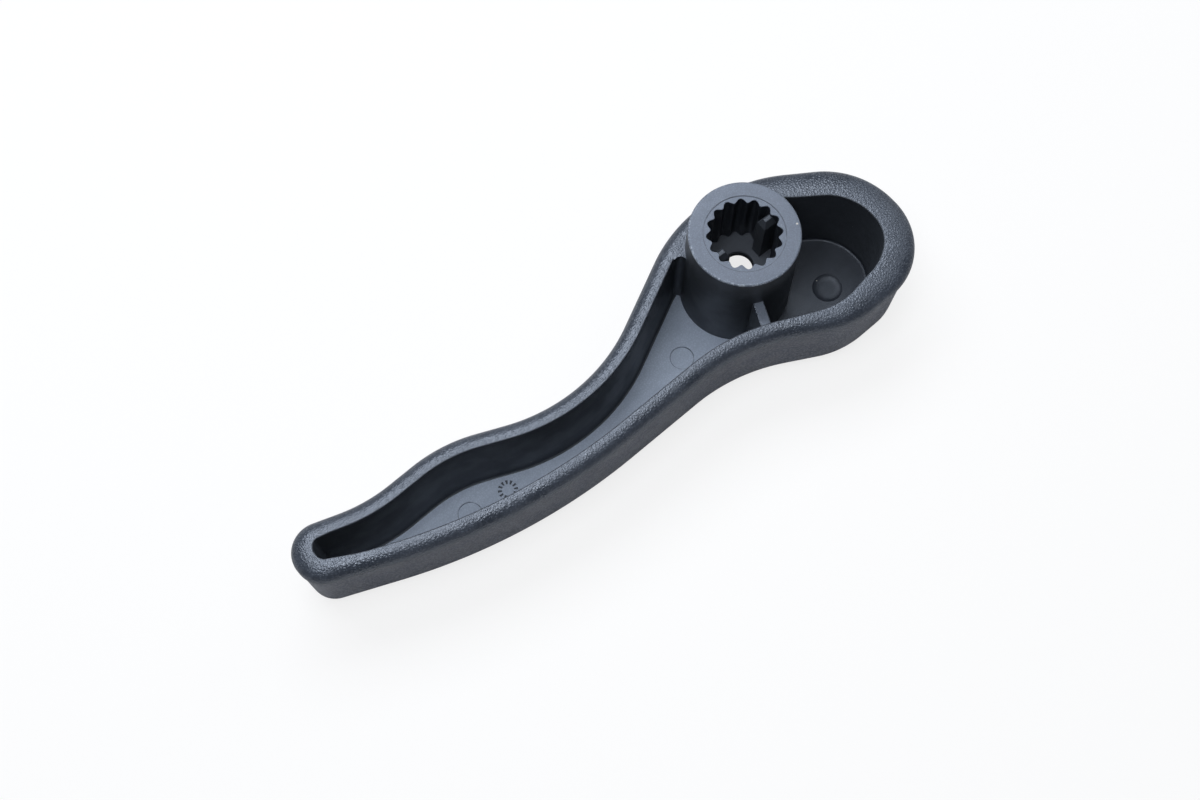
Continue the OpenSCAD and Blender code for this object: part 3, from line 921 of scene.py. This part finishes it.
def makeFloor():
    half = stage["size"] / 2
    mesh = bpy.data.meshes.new("floor")
    corners = [(-half, -half, 0), (half, -half, 0), (half, half, 0), (-half, half, 0)]
    mesh.from_pydata(corners, [], [(0, 1, 2, 3)])
    floor = bpy.data.objects.new("floor", mesh)
    floor.location.z = cadLow.z - stage["lift"]
    bpy.context.scene.collection.objects.link(floor)
    material = bpy.data.materials.new("paleFloor")
    material.use_nodes = True
    tree = material.node_tree
    tree.nodes.remove(tree.nodes["Principled BSDF"])
    path = tree.nodes.new("ShaderNodeLightPath").outputs
    matt = tree.nodes.new("ShaderNodeBsdfDiffuse")
    shown = mixColour(tree, path["Is Camera Ray"], stage["colour"], stage["seenColour"])
    tree.links.new(shown, matt.inputs["Color"])
    glow = tree.nodes.new("ShaderNodeEmission")
    glowShare = calc(tree, "MULTIPLY", path["Is Camera Ray"], stage["glow"])
    seen = mixShader(tree, glowShare, matt.outputs["BSDF"], glow.outputs["Emission"])
    # clear from below, and for light that reaches the front face through it
    under = calc(tree, "LESS_THAN", path["Ray Length"], stage["lift"] * stage["clearLifts"])
    under = calc(tree, "MULTIPLY", under, calc(tree, "SUBTRACT", 1.0, path["Is Camera Ray"]))
    behind = tree.nodes.new("ShaderNodeNewGeometry").outputs["Backfacing"]
    clear = tree.nodes.new("ShaderNodeBsdfTransparent")
    shader = mixShader(tree, calc(tree, "MAXIMUM", under, behind), seen, clear.outputs["BSDF"])
    tree.links.new(shader, tree.nodes["Material Output"].inputs["Surface"])
    mesh.materials.append(material)


def makeWorld():
    world = bpy.data.worlds.new("studio")
    bpy.context.scene.world = world
    world.use_nodes = True
    tree = world.node_tree
    fill = tree.nodes["Background"]
    fill.inputs["Color"].default_value = stage["fillColour"]
    coords = tree.nodes.new("ShaderNodeTexCoord")
    split = tree.nodes.new("ShaderNodeSeparateXYZ")
    tree.links.new(coords.outputs["Generated"], split.inputs["Vector"])
    level = remap(tree, split.outputs["Z"], *stage["horizon"], stage["fillBelow"], stage["fill"])
    tree.links.new(level, fill.inputs["Strength"])
    backdrop = tree.nodes.new("ShaderNodeBackground")
    backdrop.inputs["Color"].default_value = (1, 1, 1, 1)
    path = tree.nodes.new("ShaderNodeLightPath").outputs
    seen = mixShader(tree, path["Is Camera Ray"], fill.outputs["Background"], backdrop.outputs["Background"])
    tree.links.new(seen, tree.nodes["World Output"].inputs["Surface"])


makeFloor()
makeWorld()

# a large soft box overhead on the tip's side, a long strip on the far side and two weak fills
lamps = {  # "from" is azimuth and elevation in degrees
    "overhead": {"from": (0.0, 79.0), "size": (0.24, 0.4), "watts": 2.16, "colour": (0.92, 0.95, 1.0)},
    "farStrip": {"from": (-104.0, 56.0), "size": (0.7, 0.34), "watts": 3.52, "colour": (0.90, 0.94, 1.0)},
    "farSide": {"from": (184.0, 30.0), "size": (0.36, 0.36), "watts": 0.44, "colour": (0.95, 0.98, 1.0)},
    "headSide": {"from": (139.0, 65.0), "size": (0.36, 0.36), "watts": 0.4, "colour": (0.95, 0.98, 1.0)},
}
lampDistance = 0.7
lampAim = Vector((0.04, 0.005, -0.015))


def makeLamp(name, spec):
    light = bpy.data.lights.new(name, "AREA")
    light.shape = "RECTANGLE"
    light.size, light.size_y = spec["size"]
    light.energy = spec["watts"]
    light.color = spec["colour"]
    lamp = bpy.data.objects.new(name, light)
    azimuth, elevation = (math.radians(angle) for angle in spec["from"])
    level = math.cos(elevation)
    towards = Vector((math.cos(azimuth) * level, math.sin(azimuth) * level, math.sin(elevation)))
    lamp.location = lampAim + towards * lampDistance
    lamp.rotation_euler = towards.to_track_quat("Z", "Y").to_euler()
    bpy.context.scene.collection.objects.link(lamp)


for name, spec in lamps.items():
    makeLamp(name, spec)

# camera at the photograph's place
view = {
    "lens": 50.03, "sensor": 36.0, "place": (0.1274, 0.0975, 0.3377), "elevation": 70.75, "azimuth": 139.0,
}
cameraData = bpy.data.cameras.new("camera")
cameraData.lens = view["lens"]
cameraData.sensor_width = view["sensor"]
camera = bpy.data.objects.new("camera", cameraData)
camera.location = view["place"]
camera.rotation_euler = (math.radians(90 - view["elevation"]), 0, math.radians(view["azimuth"]))
bpy.context.scene.collection.objects.link(camera)
bpy.context.scene.camera = camera
bpy.context.scene.view_settings.view_transform = "Standard"
print("floor, lamps and camera set")
